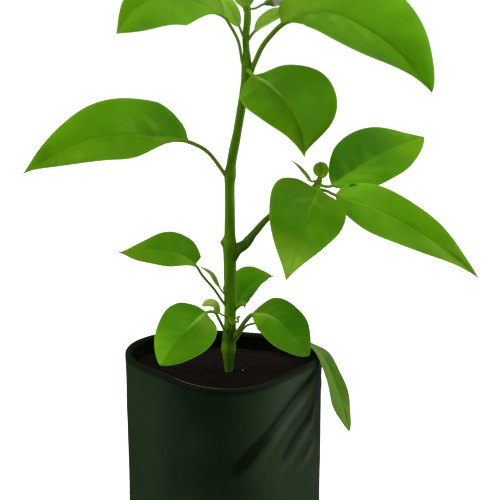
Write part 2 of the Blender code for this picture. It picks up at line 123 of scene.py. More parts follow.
def piece_from(name, shape, sharp=55.0):
    """Turns a finished bmesh into a piece, smooth except over its sharp edges."""
    mesh = bpy.data.meshes.new(name)
    shape.to_mesh(mesh)
    shape.free()
    mesh.shade_smooth()
    mesh.set_sharp_from_angle(angle=radians(sharp))
    piece = bpy.data.objects.new(name, mesh)
    bpy.context.scene.collection.objects.link(piece)
    return piece


def pot_radius(angle):
    """The rim's distance from the middle: a soft square pressed out of true."""
    return POT_RADIUS + sum(
        depth * cos(count * (angle - radians(turn)))
        for count, depth, turn in POT_LOBES)


def fold_depth(angle, height):
    """How far the folds draw the wall in at a point, less the ridges beside them."""
    here = Vector((angle * POT_RADIUS, height))
    total = 0.0
    for fold in POT_FOLDS:
        line = [Vector((radians(a) * POT_RADIUS, z)) for a, z in fold["line"]]
        nearest, place, side = 1e9, 0.0, 1.0
        for index, (start, end) in enumerate(zip(line, line[1:])):
            run = end - start
            share = min(max((here - start).dot(run) / run.length_squared, 0.0), 1.0)
            reach = here - (start + run * share)
            if reach.length < nearest:
                nearest = reach.length
                place = (index + share) / (len(line) - 1)
                side = 1.0 if run.x * reach.y - run.y * reach.x > 0 else -1.0
        width, depth, ridge = [
            fold[key][0] + (fold[key][1] - fold[key][0]) * place
            for key in ("width", "depth", "ridge")]
        ends = (smooth_step(place / 0.15) * smooth_step((1 - place) / 0.25)
                * smooth_step(abs(angle) / 0.26))
        across = nearest * side / width
        total += ends * (depth * exp(-across ** 2)
                         - ridge * exp(-((across - 2.0) / 0.9) ** 2))
    return total


def pot_place(turn, run):
    """A point of the pot's skin: up the outside, over the lip and down the inside."""
    angle = 2 * pi * turn
    if angle > pi:
        angle -= 2 * pi
    half_lip = POT_LIP / 2
    # Rows of the share of the skin's length, the height and the inset from the outside.
    outline = ((0.0, 0.0, TO_MIDDLE), (0.10, 0.0, POT_FILLET * 0.75),
               (0.12, POT_FILLET * 0.3, POT_FILLET * 0.2), (0.14, POT_FILLET, 0.0),
               (0.56, POT_HEIGHT - POT_LIP_DEPTH, 0.0),
               (LIP_START, POT_HEIGHT - half_lip, 0.0))
    inner = ((LIP_END, POT_HEIGHT - half_lip, POT_LIP),
             (0.68, POT_HEIGHT - POT_LIP_DEPTH, POT_WALL), (0.9, POT_FLOOR, POT_WALL),
             (1.0, POT_FLOOR, TO_MIDDLE))
    if LIP_START < run < LIP_END:
        roll = pi * (run - LIP_START) / (LIP_END - LIP_START)
        height = POT_HEIGHT - half_lip * (1 - sin(roll))
        inset = half_lip * (1 - cos(roll))
    else:
        rows = outline if run <= LIP_START else inner
        for (low, z_low, in_low), (high, z_high, in_high) in zip(rows, rows[1:]):
            if run <= high:
                break
        share = (run - low) / (high - low)
        height = z_low + (z_high - z_low) * share
        inset = in_low + (in_high - in_low) * share
    scale = 1 - POT_TAPER * (1 - height / POT_HEIGHT)
    radius = pot_radius(angle) * scale
    give = (smooth_step((POT_HEIGHT - height) / STIFF_LIP)
            * smooth_step((height - STIFF_FOOT) / FOOT_RISE))
    soft = 0.15 + 0.3 * noise.noise(Vector((cos(angle), sin(angle), height / 60)) * 1.7)
    crease = fold_depth(angle, height)
    radius -= give * (crease + soft)
    inset_here = inset * radius / TO_MIDDLE if inset > POT_LIP else inset
    reach = max(radius - inset_here, 0.0)
    position = Vector((reach * cos(angle), reach * sin(angle), height))
    inside = 1.0 if run > LIP_END else 0.0
    return position, (angle, height, inset), (inside, crease, 0.0)


def cut_holes(piece, count, circle, radius, depth):
    """Cuts a circle of round holes straight through a piece, and keeps what is left."""
    tool_shape = bmesh.new()
    for index in range(count):
        turn = pi * (2 * index + 1) / count
        hole = bmesh.ops.create_cone(
            tool_shape, cap_ends=True, segments=40, radius1=radius * MM, radius2=radius * MM,
            depth=depth * MM)
        bmesh.ops.translate(tool_shape, verts=hole["verts"],
                            vec=(circle * cos(turn) * MM, circle * sin(turn) * MM, 0))
    tool = piece_from("hole_tool", tool_shape)
    cut = piece.modifiers.new("holes", "BOOLEAN")
    cut.operation = "DIFFERENCE"
    cut.solver = "EXACT"
    cut.object = tool
    shaped = bpy.data.meshes.new_from_object(
        piece.evaluated_get(bpy.context.evaluated_depsgraph_get()))
    piece.modifiers.clear()
    piece.data = shaped
    bpy.data.objects.remove(tool)


def add_node(tree, kind, inputs=None, **settings):
    """Adds a node, sets its options, and gives its inputs values or links."""
    node = tree.nodes.new(kind)
    for name, value in settings.items():
        setattr(node, name, value)
    for name, value in (inputs or {}).items():
        if isinstance(value, bpy.types.NodeSocket):
            tree.links.new(value, node.inputs[name])
        else:
            node.inputs[name].default_value = value
    return node


def calc(operation, *values):
    """One step of arithmetic on sockets and numbers, in the tree of the first socket."""
    tree = next(value.id_data for value in values if isinstance(value, bpy.types.NodeSocket))
    return add_node(tree, "ShaderNodeMath", dict(enumerate(values)),
                    operation=operation).outputs[0]


def times(*values):
    """The product of two sockets or numbers."""
    return calc("MULTIPLY", *values)


def ease(value, low, high, to_low=0.0, to_high=1.0):
    """Eases a socket's value from one range to another."""
    return add_node(value.id_data, "ShaderNodeMapRange",
                    {"Value": value, "From Min": low, "From Max": high,
                     "To Min": to_low, "To Max": to_high},
                    interpolation_type="SMOOTHSTEP").outputs[0]


def tint(share, under, over):
    """Lays one colour over another by a share. Each is a triple or a socket."""
    under, over = [(*color, 1) if isinstance(color, tuple) else color
                   for color in (under, over)]
    return add_node(share.id_data, "ShaderNodeMix", {0: share, 6: under, 7: over},
                    data_type="RGBA").outputs[2]


def speckle(tree, scale, detail=2.0, roughness=0.55, stretch=None):
    """Noise on the piece's own coordinates, with its size in metres."""
    where = add_node(tree, "ShaderNodeTexCoord").outputs["Object"]
    if stretch:
        where = add_node(tree, "ShaderNodeMapping", {0: where, "Scale": stretch}).outputs[0]
    return add_node(tree, "ShaderNodeTexNoise",
                    {"Vector": where, "Scale": scale, "Detail": detail,
                     "Roughness": roughness}).outputs["Fac"]


def skin_values(tree, layer):
    """The three values that a rolled skin carries in one of its layers."""
    found = add_node(tree, "ShaderNodeAttribute", attribute_name=layer)
    return add_node(tree, "ShaderNodeSeparateXYZ", {0: found.outputs["Vector"]}).outputs


def new_finish(name, **constants):
    """A Principled material with its steady values set, its tree and its shader."""
    finish = bpy.data.materials.new(name)
    finish.use_nodes = True
    shader = finish.node_tree.nodes["Principled BSDF"]
    for socket, value in constants.items():
        shader.inputs[socket.replace("_", " ")].default_value = value
    return finish, finish.node_tree, shader


def feed(shader, socket, value):
    """Leads a value into one of the shader's sockets."""
    shader.id_data.links.new(value, shader.inputs[socket])


def bump(shader, height, strength, distance):
    """Fine relief from a height in the material."""
    relief = add_node(shader.id_data, "ShaderNodeBump",
                      {"Height": height, "Strength": strength, "Distance": distance})
    feed(shader, "Normal", relief.outputs[0])


def set_in(piece, node, finish):
    """Gives a piece its finish and its place in the frame."""
    piece.data.materials.clear()
    piece.data.materials.append(finish)
    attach(piece, "root")
    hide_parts(node)


pot = rolled_skin("pot_shell", 256, 150, pot_place)
cut_holes(pot, DRAIN_HOLES, DRAIN_CIRCLE, DRAIN_RADIUS, 4 * POT_FLOOR)
pot.data.shade_smooth()
pot.data.set_sharp_from_angle(angle=radians(50))

pot_finish, tree, shader = new_finish(
    "pot_plastic", Sheen_Weight=0.03, Sheen_Roughness=0.4,
    Sheen_Tint=(0.7, 1.0, 0.6, 1))
mottle = speckle(tree, 28.0)
dust = speckle(tree, 420.0, detail=4.0, roughness=0.7)
angle, height, inset = skin_values(tree, "skin_grain")
inside, crease, _ = skin_values(tree, "skin_zones")
outside = calc("SUBTRACT", 1.0, inside)
from_shaded_side = calc("ABSOLUTE", calc("SUBTRACT", angle, SHADED_SIDE))
# Painted shade: the wall is darkest on the side that faces the unlit front and painted lighter
# round the sides, and it also lightens towards the bottom.
painted_light_share = calc("MAXIMUM", ease(from_shaded_side, 0.1, 0.8), ease(height, 75.0, 15.0, 0.0, 0.6))
color = tint(painted_light_share, (0.0035, 0.012, 0.003), (0.015, 0.03, 0.01))
color = tint(ease(mottle, 0.4, 0.7, 0.0, 0.5), color, (0.0095, 0.022, 0.0065))
# Painted shade darkens the valleys of the folds, and a painted highlight lightens the ridges
# beside them.
color = tint(ease(crease, 0.08, 0.8, 0.0, 0.85), color, (0.0015, 0.0055, 0.0012))
color = tint(ease(crease, -0.08, -0.5, 0.0, 0.35), color, (0.028, 0.046, 0.02))
color = tint(ease(dust, 0.66, 0.8, 0.0, 0.06), color, (0.05, 0.045, 0.03))
# Painted shade darkens the top of the outer wall and its rolled lip.
lip = times(ease(height, 101.0, 104.5), outside)
color = tint(times(lip, 0.8), color, (0.002, 0.005, 0.0015))
# A painted highlight: a thin pale line along the lip's inner edge round the front, brightest
# at the middle of the front.
edge = times(ease(inset, POT_LIP * 0.42, POT_LIP * 0.6),
             times(outside, ease(from_shaded_side, 1.3, 0.3, 0.0, 0.8)))
color = tint(edge, color, (0.035, 0.045, 0.022))
painted_lip_glint = times(edge, ease(from_shaded_side, 0.4, 0.12))
color = tint(painted_lip_glint, color, (0.16, 0.17, 0.08))
# Painted shade makes the inside of the wall nearly black.
color = tint(times(inside, 0.95), color, (0.001, 0.0014, 0.001))
feed(shader, "Base Color", color)
feed(shader, "Roughness", calc("ADD", times(lip, 0.15), ease(mottle, 0.3, 0.7, 0.4, 0.5)))
feed(shader, "Specular IOR Level", ease(lip, 0.0, 1.0, 0.14, 0.03))
bump(shader, speckle(tree, 900.0), 0.12, 0.0003)
set_in(pot, "pot", pot_finish)


# --- Soil -----------------------------------------------------------------------------
# Dark peat mix fills the pot to a finger below the lip. Its top is loose and crumbly,
# lower at the wall than at the stem, with lumps of bark and a white grain of perlite.

SOIL_TOP = 96.0
SOIL_CROWN = 1.5
SOIL_GAP = 0.3
# The hole that the stem stands in: its middle, its radius and the height of its bottom.
STEM_MIDDLE = Vector((3.0, 4.0, 0.0))
STEM_HOLE = 2.0
STEM_FOOT = 78.0
# The shares of the skin's length at which it comes over the plug's edge and to the hole.
EDGE_RUN, HOLE_RUN = 0.12, 0.9
# Crumbs lie over this share of the soil, and keep off the wall and the stem by these gaps.
CRUMB_REACH, CRUMB_GAP, STEM_CLEAR = 0.97, 3.0, 3.2


def soil_surface(x, y, share):
    """The height of the loose surface: crumbs of three sizes on a low crown."""
    here = Vector((x, y, 3.0))
    height = SOIL_TOP - 1.2 + SOIL_CROWN * (1 - share * share)
    height += 0.7 * noise.noise(here / 13.0)
    height += 0.35 * noise.noise(here / 4.1)
    height += 0.25 * abs(noise.noise(here / 1.9))
    return height + 0.5 * smooth_step((share - 0.86) / 0.14)


def soil_place(turn, run):
    """A point of the plug: up its side, in over its top and down into the stem's hole."""
    angle = 2 * pi * turn
    # The tapered wall at the soil's top, less its thickness, the gap and what folds take.
    edge = pot_radius(angle) * (1 - POT_TAPER * 0.09) - POT_WALL - SOIL_GAP - 1.4
    rim = Vector((edge * cos(angle), edge * sin(angle), 0.0))
    hole = STEM_MIDDLE + Vector((cos(angle), sin(angle), 0)) * STEM_HOLE
    if run < EDGE_RUN:
        share = run / EDGE_RUN
        low = POT_FLOOR + SOIL_GAP
        narrow = 1 - POT_TAPER * (1 - share)
        position = Vector((rim.x * narrow, rim.y * narrow, low + (SOIL_TOP - 3 - low) * share))
        if run == 0:
            position = Vector((0, 0, low))
    elif run < HOLE_RUN:
        share = 1 - (run - EDGE_RUN) / (HOLE_RUN - EDGE_RUN)
        position = hole.lerp(rim, share)
        position.z = soil_surface(position.x, position.y, share)
    else:
        share = (run - HOLE_RUN) / (1 - HOLE_RUN)
        position = hole
        position.z = soil_surface(position.x, position.y, 0.0)
        position.z += (STEM_FOOT - position.z) * share
    return position, (0.0, 0.0, 0.0), (0.0, 0.0, 0.0)


def scatter_crumbs(name, count, sizes, seed, flatten, rise):
    """Loose lumps lying on the surface, each a small pulled-about ball.

    sizes gives the smallest and the largest radius, flatten the range of the lumps'
    height for their width, and rise the share of its radius that a lump stands out.
    """
    pick = random.Random(seed)
    shape = bmesh.new()
    for _ in range(count):
        share = sqrt(pick.random()) * CRUMB_REACH
        angle = 2 * pi * pick.random()
        edge = pot_radius(angle) - POT_WALL - CRUMB_GAP
        x, y = share * edge * cos(angle), share * edge * sin(angle)
        size = sizes[0] + (sizes[1] - sizes[0]) * pick.random() ** 3
        if hypot(x - STEM_MIDDLE.x, y - STEM_MIDDLE.y) < STEM_CLEAR + size:
            continue
        lump = bmesh.ops.create_icosphere(shape, subdivisions=2, radius=size)["verts"]
        long_way = Vector((pick.uniform(0.8, 1.5), pick.uniform(0.7, 1.1),
                           pick.uniform(*flatten)))
        turned = pick.uniform(0, pi)
        offset = Vector((pick.random(), pick.random(), pick.random())) * 40
        base = Vector((x, y, soil_surface(x, y, share) + size * rise))
        for point in lump:
            swell = 1 + 0.45 * noise.noise(point.co * (1.3 / size) + offset)
            spot = Vector(a * b for a, b in zip(point.co * swell, long_way))
            spot = Vector((spot.x * cos(turned) - spot.y * sin(turned),
                           spot.x * sin(turned) + spot.y * cos(turned), spot.z))
            point.co = (base + spot) * MM
    return piece_from(name, shape, sharp=70.0)


soil_finish, tree, shader = new_finish("peat_mix", Roughness=0.95, Specular_IOR_Level=0.1)
lumps = speckle(tree, 330.0, detail=5.0, roughness=0.7)
patches = speckle(tree, 45.0)
color = tint(ease(lumps, 0.32, 0.7), (0.0022, 0.0013, 0.0007), (0.0085, 0.0045, 0.0022))
color = tint(ease(patches, 0.4, 0.68, 0.0, 0.6), color, (0.009, 0.0027, 0.0009))
feed(shader, "Base Color", color)
bump(shader, lumps, 0.35, 0.0005)
soil = rolled_skin("soil_bed", 200, 100, soil_place)
set_in(soil, "soil", soil_finish)

crumbs = scatter_crumbs("soil_crumbs", count=260, sizes=(0.3, 1.1), seed=11,
                        flatten=(0.4, 0.8), rise=0.05)
set_in(crumbs, "soil", soil_finish)

perlite_finish, tree, shader = new_finish("perlite", Roughness=0.9, Specular_IOR_Level=0.2)
grains = speckle(tree, 900.0, detail=3.0)
feed(shader, "Base Color",
     tint(ease(grains, 0.4, 0.65), (0.62, 0.6, 0.54), (0.36, 0.33, 0.27)))
bump(shader, grains, 0.4, 0.0003)
perlite = scatter_crumbs("soil_perlite", count=1, sizes=(0.35, 0.6), seed=3411,
                         flatten=(0.7, 1.0), rise=0.35)
set_in(perlite, "soil", perlite_finish)


# --- Main stem ------------------------------------------------------------------------
# One green stem rises from the soil, leans a little to the right at its top, and swells
# at each joint. A pale ring marks where the seed leaves grew, painted shade darkens the rind
# above it, and a scar stands on its left side.

# The points that the stem runs through, and its radius at each height.
STEM_POINTS = (
    (2.5, 4, 78), (3, 4, 96), (3, 4, 110), (4, 4, 128), (4, 4, 163), (4, 4, 193),
    (4, 4, 210), (5.3, 4, 222), (8.4, 4, 238), (11.2, 4, 255), (13, 4, 267), (13.5, 4, 278),
    (13, 4, 290), (14, 4, 300), (14, 4, 311),
)
STEM_RADII = (
    (78, 2.1), (96, 2.3), (100, 2.7), (106, 3.5), (110, 4.3), (112, 4.2), (114, 3.9),
    (117, 4.0), (128, 3.4), (140, 3.5), (163, 3.7), (171, 4.0), (178, 3.2), (193, 2.9),
    (206, 2.8), (213, 3.3), (220, 2.7), (244, 2.4), (262, 2.5), (274, 2.9), (279, 2.3),
    (283, 1.9), (294, 1.9), (300, 2.0), (311, 1.4),
)
# Scars and buds on the rind: the angle, the height, the reach, the half width round the
# stem in degrees, and the half height.
STEM_MARKS = ((178, 174, 1.9, 26, 2.2), (170, 146.5, 0.9, 22, 1.6), (-60, 213, 0.5, 40, 2.0))


class Route:
    """A smooth line through a few points, walked by the share of its length."""

    STEPS = 24

    def __init__(self, points):
        points = [Vector(point) for point in points]
        ends = [2 * points[0] - points[1]] + points + [2 * points[-1] - points[-2]]
        self.samples = [points[0]]
        for before, start, end, after in zip(ends, ends[1:], ends[2:], ends[3:]):
            for step in range(1, self.STEPS + 1):
                t = step / self.STEPS
                self.samples.append(0.5 * (
                    2 * start + (end - before) * t
                    + (2 * before - 5 * start + 4 * end - after) * t * t
                    + (3 * start - 3 * end + after - before) * t ** 3))
        self.lengths = [0.0]
        for start, end in zip(self.samples, self.samples[1:]):
            self.lengths.append(self.lengths[-1] + (end - start).length)
        self.length = self.lengths[-1]

    def at(self, share):
        """The point a share of the way along."""
        wanted = min(max(share, 0.0), 1.0) * self.length
        for index in range(1, len(self.lengths)):
            if self.lengths[index] >= wanted:
                break
        part = ((wanted - self.lengths[index - 1])
                / (self.lengths[index] - self.lengths[index - 1]))
        return self.samples[index - 1].lerp(self.samples[index], part)

    def direction(self, share):
        """The way the line runs there."""
        return (self.at(share + 0.012) - self.at(share - 0.012)).normalized()

    def share_at_height(self, height):
        """How far along the line first reaches a height."""
        for index, sample in enumerate(self.samples):
            if sample.z >= height:
                return self.lengths[index] / self.length
        return 1.0


def step_value(table, place):
    """Reads a value between the rows of a table of (place, value)."""
    if place <= table[0][0]:
        return table[0][1]
    for (low, value), (high, next_value) in zip(table, table[1:]):
        if place <= high:
            return value + (next_value - value) * smooth_step((place - low) / (high - low))
    return table[-1][1]


def round_end(run):
    """Closes a skin round its last little part: the share of its width left there."""
    start = 0.985
    return sqrt(max(0.0, 1 - max(0.0, (run - start) / (1 - start)) ** 2))


class Stem:
    """A stem's line, its thickness by height, and the marks on its rind."""

    def __init__(self, points, radii, marks, ribs):
        self.route = Route(points)
        self.radii, self.marks, self.ribs = radii, marks, ribs

    def seat(self, height, towards):
        """A stem's middle at a joint, the way out to a stalk, and its skin's distance."""
        share = self.route.share_at_height(height)
        centre = self.route.at(share)
        axis = self.route.direction(share)
        out = Vector(towards) - centre
        out = (out - axis * out.dot(axis)).normalized()
        return centre, out, step_value(self.radii, height)

    def place(self, turn, run):
        """A point of the rind, closed round the end where the stem stops growing."""
        angle = 2 * pi * turn
        centre = self.route.at(run)
        ahead = self.route.direction(run)
        right = Vector((0, 1, 0)).cross(ahead).normalized()
        back = ahead.cross(right)
        reach = step_value(self.radii, centre.z)
        reach *= 1 + 0.035 * cos(self.ribs * angle + centre.z / 45)
        reach += 0.12 * noise.noise(Vector((cos(angle), sin(angle), centre.z / 9)))
        for mark_angle, height, bulge, half_turn, half_height in self.marks:
            away = remainder(angle - radians(mark_angle), 2 * pi)
            reach += (bulge * exp(-(away / radians(half_turn)) ** 2)
                      * exp(-((centre.z - height) / half_height) ** 2))
        reach *= round_end(run)
        position = centre + (right * cos(angle) + back * sin(angle)) * reach
        return position, (0.0, centre.z, 0.0), (0.0, 0.0, 0.0)


def rind_finish(name, low_color, high_color, low, high):
    """Smooth green rind with fine streaks along it, which passes from its lower colour to
    its upper one between two heights."""
    finish, tree, shader = new_finish(
        name, Specular_IOR_Level=0.05, Subsurface_Weight=0.15, Subsurface_Scale=0.0012,
        Subsurface_Radius=(0.6, 1.0, 0.25))
    streaks = speckle(tree, 700.0, detail=3.0, stretch=(1.0, 1.0, 0.07))
    patches = speckle(tree, 90.0, detail=3.0)
    height = skin_values(tree, "skin_grain")[1]
    color = tint(ease(height, low, high), low_color, high_color)
    color = tint(ease(streaks, 0.4, 0.7, 0.0, 0.35), color, (0.12, 0.32, 0.004))
    color = tint(ease(patches, 0.45, 0.7, 0.0, 0.4), color, (0.05, 0.16, 0.001))
    feed(shader, "Base Color", color)
    feed(shader, "Roughness", ease(patches, 0.3, 0.7, 0.38, 0.5))
    bump(shader, streaks, 0.25, 0.0003)
    return finish, tree, shader, color


main_stem = Stem(STEM_POINTS, STEM_RADII, STEM_MARKS, 5)
stem_finish, tree, shader, color = rind_finish(
    "stem_rind", (0.03, 0.085, 0.003), (0.078, 0.2, 0.001), 100.0, 128.0)
height = skin_values(tree, "skin_grain")[1]
ring = times(ease(height, 106.5, 108.5), ease(height, 115, 111.5))
color = tint(times(ring, 0.7), color, (0.085, 0.17, 0.006))
# Painted shade darkens a band of the rind above the ring.
shade = times(ease(height, 114, 116.5), ease(height, 126, 119))
color = tint(times(shade, 0.6), color, (0.015, 0.06, 0.002))
feed(shader, "Base Color", color)
rind = rolled_skin("main_stem_rind", 48, 300, main_stem.place)
set_in(rind, "main_stem", stem_finish)


# --- Side branch ----------------------------------------------------------------------
# A thinner branch leaves the stem's right side at the swollen joint and carries its own
# small crown of leaves. It is the same green rind, lighter than the stem.

# The height of its joint, then its points, radii and marks as the main stem has them.
BRANCH_HEIGHT = 168.5
BRANCH_POINTS = ((12.7, 3, 173), (18, 2, 180), (28, 2, 190.8), (41, 2, 198.6), (50, 3, 204),
                 (54, 3, 209), (55, 3, 213))
BRANCH_RADII = ((160, 3.4), (170, 3.4), (174, 2.9), (180, 2.2), (191, 1.7), (200, 1.5),
                (208, 2.0), (213, 1.3))
BRANCH_MARKS = ((90, 191, 0.3, 40, 1.5),)

centre, out, skin = main_stem.seat(BRANCH_HEIGHT, BRANCH_POINTS[0])
below = main_stem.seat(BRANCH_HEIGHT - 6, BRANCH_POINTS[0])[0]
side_branch = Stem([below, centre + out * (skin + 0.2), *BRANCH_POINTS],
                   BRANCH_RADII, BRANCH_MARKS, 4)
branch_finish = rind_finish(
    "branch_rind", (0.045, 0.11, 0.003), (0.085, 0.17, 0.005), 170.0, 190.0)[0]
branch = rolled_skin("side_branch_rind", 40, 130, side_branch.place)
set_in(branch, "side_branch", branch_finish)


# --- Leaves ---------------------------------------------------------------------------
# Broad pointed leaves, thin and smooth, each on its own stalk. A rib runs under each one
# from the stalk to the tip, the blade rises between the side veins and turns down at its
# margin. They are grown here, so a stalk runs a little way into the rind that carries it.

# The quads of a grown leaf's skin, round it and along it.
LEAF_MESH = (72, 128)


def half_width(share, half):
    """How far a half reaches from the midrib. A half is its width and its base and tip
    powers: under 1 is round there, 1 is a straight taper, over 1 is drawn out. A fourth
    number is the share over which its margin bends in to a drip tip."""
    width, base, tip, *drip = half
    if share <= 0 or share >= 1:
        return 0.0
    widest = base / (base + tip)
    reach = width * (share / widest) ** base * ((1 - share) / (1 - widest)) ** tip
    return reach * (1 - exp(-((1 - share) / drip[0]) ** 2)) if drip else reach


class Leaf:
    """A leaf's shape: the same midrib, halves and fold as its solid, with its relief.

    height is its joint's, on the stem; stalk and blade are the points that its midrib runs
    through, and face the way that its upper side looks at its base and at its tip.
    """

    # Side veins on each half, how far the blade rises between them and puckers, the waves
    # of its margin, and how far its halves bend back from straight.
    VEINS, QUILT, PUCKER, RIPPLES, BEND = 7, 0.12, 0.8, 2.3, 0.5

    def __init__(self, height, blade, left, face, fold=20, stalk_radius=0.8, right=None,
                 stem=main_stem, stalk=(), lobe=0.0, ripple=0.5):
        first = stalk[0] if stalk else blade[0]
        centre, out, skin = stem.seat(height, first)
        below = stem.seat(height - 1.6 * stalk_radius, first)[0]
        stalk_points = [below, centre + out * (skin - 0.3 * stalk_radius), *stalk, blade[0]]
        self.route = Route(stalk_points + list(blade[1:]))
        self.blade_start = Route(stalk_points).length / self.route.length
        self.blade_length = (1 - self.blade_start) * self.route.length
        self.left, self.right, self.lobe, self.ripple = left, right or left, lobe, ripple
        self.fold = radians(fold)
        self.face = [Vector(way).normalized() for way in face]
        self.stalk_radius = stalk_radius
        self.stalk_part = 0.1 + 0.12 * min(1.0, self.blade_start * 2)

    @cache
    def station(self, run):
        """What holds for a whole cross-section, worked out once."""
        blade, share = 0.0, self.blade_start * run / self.stalk_part
        if run >= self.stalk_part:
            turn = pi * (run - self.stalk_part) / (1 - self.stalk_part)
            blade = min(1.0, 0.5 * (1 - cos(turn)))
            share = self.blade_start + (1 - self.blade_start) * blade
        # A blade's way is taken over a fifth of it each way, so that the sides of a bent one
        # don't crowd together.
        reach = 0.2 * (1 - self.blade_start)
        wide = (self.route.at(share + reach)
                - self.route.at(max(self.blade_start, share - reach))).normalized()
        near = self.route.direction(share)
        ahead = near.lerp(wide, smooth_step(blade / 0.07)).normalized()
        face = self.face[0].lerp(self.face[1], blade)
        face = (face - ahead * face.dot(ahead)).normalized()
        base = share * self.route.length
        stalk = self.stalk_radius * (1 - blade) ** 2
        stalk *= 1 + 0.5 * exp(-(base / (3.5 * self.stalk_radius)) ** 2)
        return self.route.at(share), ahead, ahead.cross(face), face, blade, stalk

    def place(self, turn, run):
        """A point of the skin: over the face from margin to margin, and back beneath."""
        centre, ahead, side, face, blade, stalk = self.station(run)
        under = turn > 0.5
        across = 3 - 4 * turn if under else 4 * turn - 1
        sign = 1.0 if across > 0 else -1.0
        half = half_width(blade, self.right if across > 0 else self.left)
        span = abs(across) ** 1.7
        whole = hypot(stalk, half)
        round_x = stalk * sin(pi / 2 * abs(across))
        round_y = stalk * cos(pi / 2 * across)
        x = hypot(round_x, span * half)
        reach = x / max(whole, 0.001)
        fold = self.fold * min(1.0, blade * 6)
        broad = smooth_step(half / 7)

        along = blade * self.blade_length
        spacing = self.blade_length / self.VEINS
        phase = (along - 0.6 * x - 0.011 * x * x) / spacing + (0.5 if across > 0 else 0.0)
        off_vein = abs(phase - round(phase)) * spacing
        puff = 0.5 - 0.5 * cos(2 * pi * phase)
        held = smooth_step(reach / 0.25) * (1 - reach ** 4)
        rise = whole * sin(fold) * (reach * (1 + self.BEND) - self.BEND * reach ** 3)
        rise += broad * held * (self.QUILT * puff - 0.08 * exp(-(off_vein / 0.8) ** 2))
        rise += broad * held * self.PUCKER * noise.noise(
            Vector((phase * spacing / 14, sign * x / 22 + 3 * sign, self.blade_length)))
        rise += (broad * self.ripple * reach ** 2
                 * sin(2 * pi * self.RIPPLES * blade + 1.3 * sign))

        thin = 0.2 * (1 - 0.7 * reach ** 2)
        spread = smooth_step(blade / 0.07)
        rib = stalk + 0.55 * self.stalk_radius * (1 - blade) + 0.1
        if under:
            flat = -hypot(thin, rib * exp(-(x / max(rib, 0.01)) ** 2))
            lift = flat * spread - round_y * (1 - spread)
        else:
            groove = 0.1 * exp(-(x / 0.8) ** 2) * (1 - blade)
            lift = (thin - groove) * spread + round_y * (1 - spread)
        position = (centre + side * (sign * x * cos(fold)) + face * (rise + lift)
                    - ahead * (self.lobe * (1 - blade) ** 3 * min(1.0, blade * 20) * reach))
        return (position, (blade, reach * sign, phase),
                (x, 1.0 if under else 0.0, 1.0 - spread))


def leaf_finish(name, base, middle, tip, vein=(0.15, 0.33, 0.01), sheen_streak=0.2, rib=0.25):
    """Smooth leaf. Its colours are pairs, for its left and right halves, at its base, in the
    middle and at its tip: the leaf's green with painted light and shade, each half and end
    lighter or darker as light falls on it. Soft clouds vary it, and painted highlights run
    as pale streaks with its side veins near the midrib.

    The underside is paler and duller, and the stalk has an olive tone.
    """
    finish, tree, shader = new_finish(
        name, Specular_IOR_Level=0.02, Subsurface_Weight=0.25, Subsurface_Scale=0.001,
        Subsurface_Radius=(0.7, 1.0, 0.05))
    along, reach, phase = skin_values(tree, "skin_grain")
    across, under, stalk = skin_values(tree, "skin_zones")
    spread = calc("ABSOLUTE", reach)
    clouds = speckle(tree, 45.0)
    pores = speckle(tree, 1500.0)
    side = ease(reach, -0.1, 0.1)
    base, middle, tip = [tint(side, left, right) for left, right in (base, middle, tip)]
    color = tint(ease(along, 0.08, 0.4), base, middle)
    color = tint(ease(along, 0.5, 0.92), color, tip)
    color = tint(ease(clouds, 0.5, 0.75, 0.0, 0.3), color, (0.13, 0.33, 0.004))
    color = tint(ease(clouds, 0.48, 0.25, 0.0, 0.35), color, (0.03, 0.12, 0.001))
    color = tint(ease(pores, 0.35, 0.75, 0.0, 0.12), color, (0.03, 0.12, 0.001))

    # Painted highlights: pale streaks that run with the side veins near the midrib.
    lanes = add_node(tree, "ShaderNodeCombineXYZ",
                     {0: times(phase, 1.3), 1: times(across, 0.06), 2: side})
    sheen_streak_noise = add_node(tree, "ShaderNodeTexNoise",
                      {"Vector": lanes.outputs[0], "Scale": 1.0, "Detail": 2.0})
    near_rib = times(ease(spread, 0.8, 0.1), ease(along, 0.75, 0.2))
    sheen_streak_mask = times(ease(sheen_streak_noise.outputs[0], 0.5, 0.68), near_rib)
    color = tint(times(sheen_streak_mask, sheen_streak), color, (0.19, 0.38, 0.02))

    near = calc("ABSOLUTE", calc("SUBTRACT", phase, calc("ROUND", phase)))
    side_vein = times(ease(near, 0.075, 0.02), ease(spread, 0.95, 0.3, 0.0, 0.05))
    rib_width = ease(along, 0.0, 0.8, 1.5, 0.4)
    midrib = times(ease(along, 0.55, 0.08, 0.04, rib),
                   ease(calc("DIVIDE", across, rib_width), 1.0, 0.3))
    lines = calc("MAXIMUM", side_vein, midrib)
    color = tint(lines, color, vein)
    color = tint(ease(spread, 0.955, 1.0, 0.0, 0.35), color, vein)
    color = tint(times(under, 0.4), color, (0.13, 0.27, 0.03))
    color = tint(times(stalk, 0.75), color, (0.11, 0.23, 0.006))
    feed(shader, "Base Color", color)
    feed(shader, "Roughness", ease(clouds, 0.3, 0.7, 0.44, 0.54))
    bump(shader, calc("SUBTRACT", pores, times(lines, 0.8)), 0.12, 0.0003)
    return finish


def grow_leaf(node, finish=None, slot="leaf", mesh=LEAF_MESH, green=None, **shape):
    """Rolls one leaf's skin and sets it in the frame in its solid's place. It takes a
    shared finish, or makes its own from the colours in green."""
    finish = finish or leaf_finish(node + "_green", **green)
    set_in(rolled_skin(node + "_blade", *mesh, Leaf(**shape).place), node, finish)
